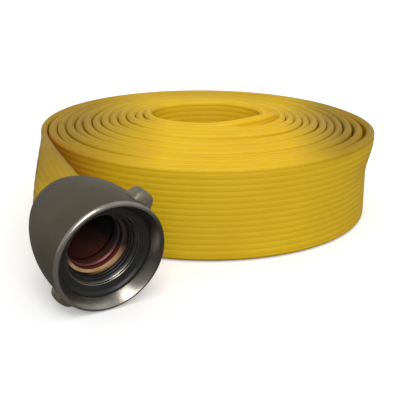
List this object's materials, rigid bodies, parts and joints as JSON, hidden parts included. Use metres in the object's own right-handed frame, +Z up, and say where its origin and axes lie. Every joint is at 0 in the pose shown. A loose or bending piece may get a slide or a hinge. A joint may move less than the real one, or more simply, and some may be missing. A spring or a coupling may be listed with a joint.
{
  "type": "rolled fire hose",
  "caption": "Lay-flat fire hose in a flat storage roll, ribbed cover, with a female swivel coupling on its free tail and a male coupling inside the core.",
  "frame": {"origin": "on the axis of the roll, at the plane it rests on", "axes": "+Z up along the roll's axis, -Y towards the free tail and the mouth of the female coupling"},
  "size_m": [0.2764, 0.3891, 0.0834],
  "materials": {
    "hose": "satin, ribbed along its length",
    "anodised_alloy": "hard anodised, machined bright on the rim",
    "steel": "ground",
    "red_rubber": "matte",
    "ring_brass": "satin"
  },
  "bodies": {
    "hose_body": {"hose_roll": "hose", "hose_tail": "hose", "hose_core_end": "hose", "female_tailpiece": "anodised_alloy", "swivel_balls": "steel", "female_expansion_ring": "ring_brass", "female_tail_gasket": "red_rubber", "male_coupling": "anodised_alloy", "male_expansion_ring": "ring_brass", "male_tail_gasket": "red_rubber"},
    "swivel": {"female_swivel": "anodised_alloy", "ball_port_screw": "steel", "swivel_gasket": "red_rubber"}
  },
  "joints": [
    {"name": "swivel_spin", "type": "hinge", "parent": "hose_body", "child": "swivel", "pos_m": [-0.059, -0.229, 0.03925], "axis": [0.5392, -0.8241, -0.1736], "continuous": true}
  ]
}
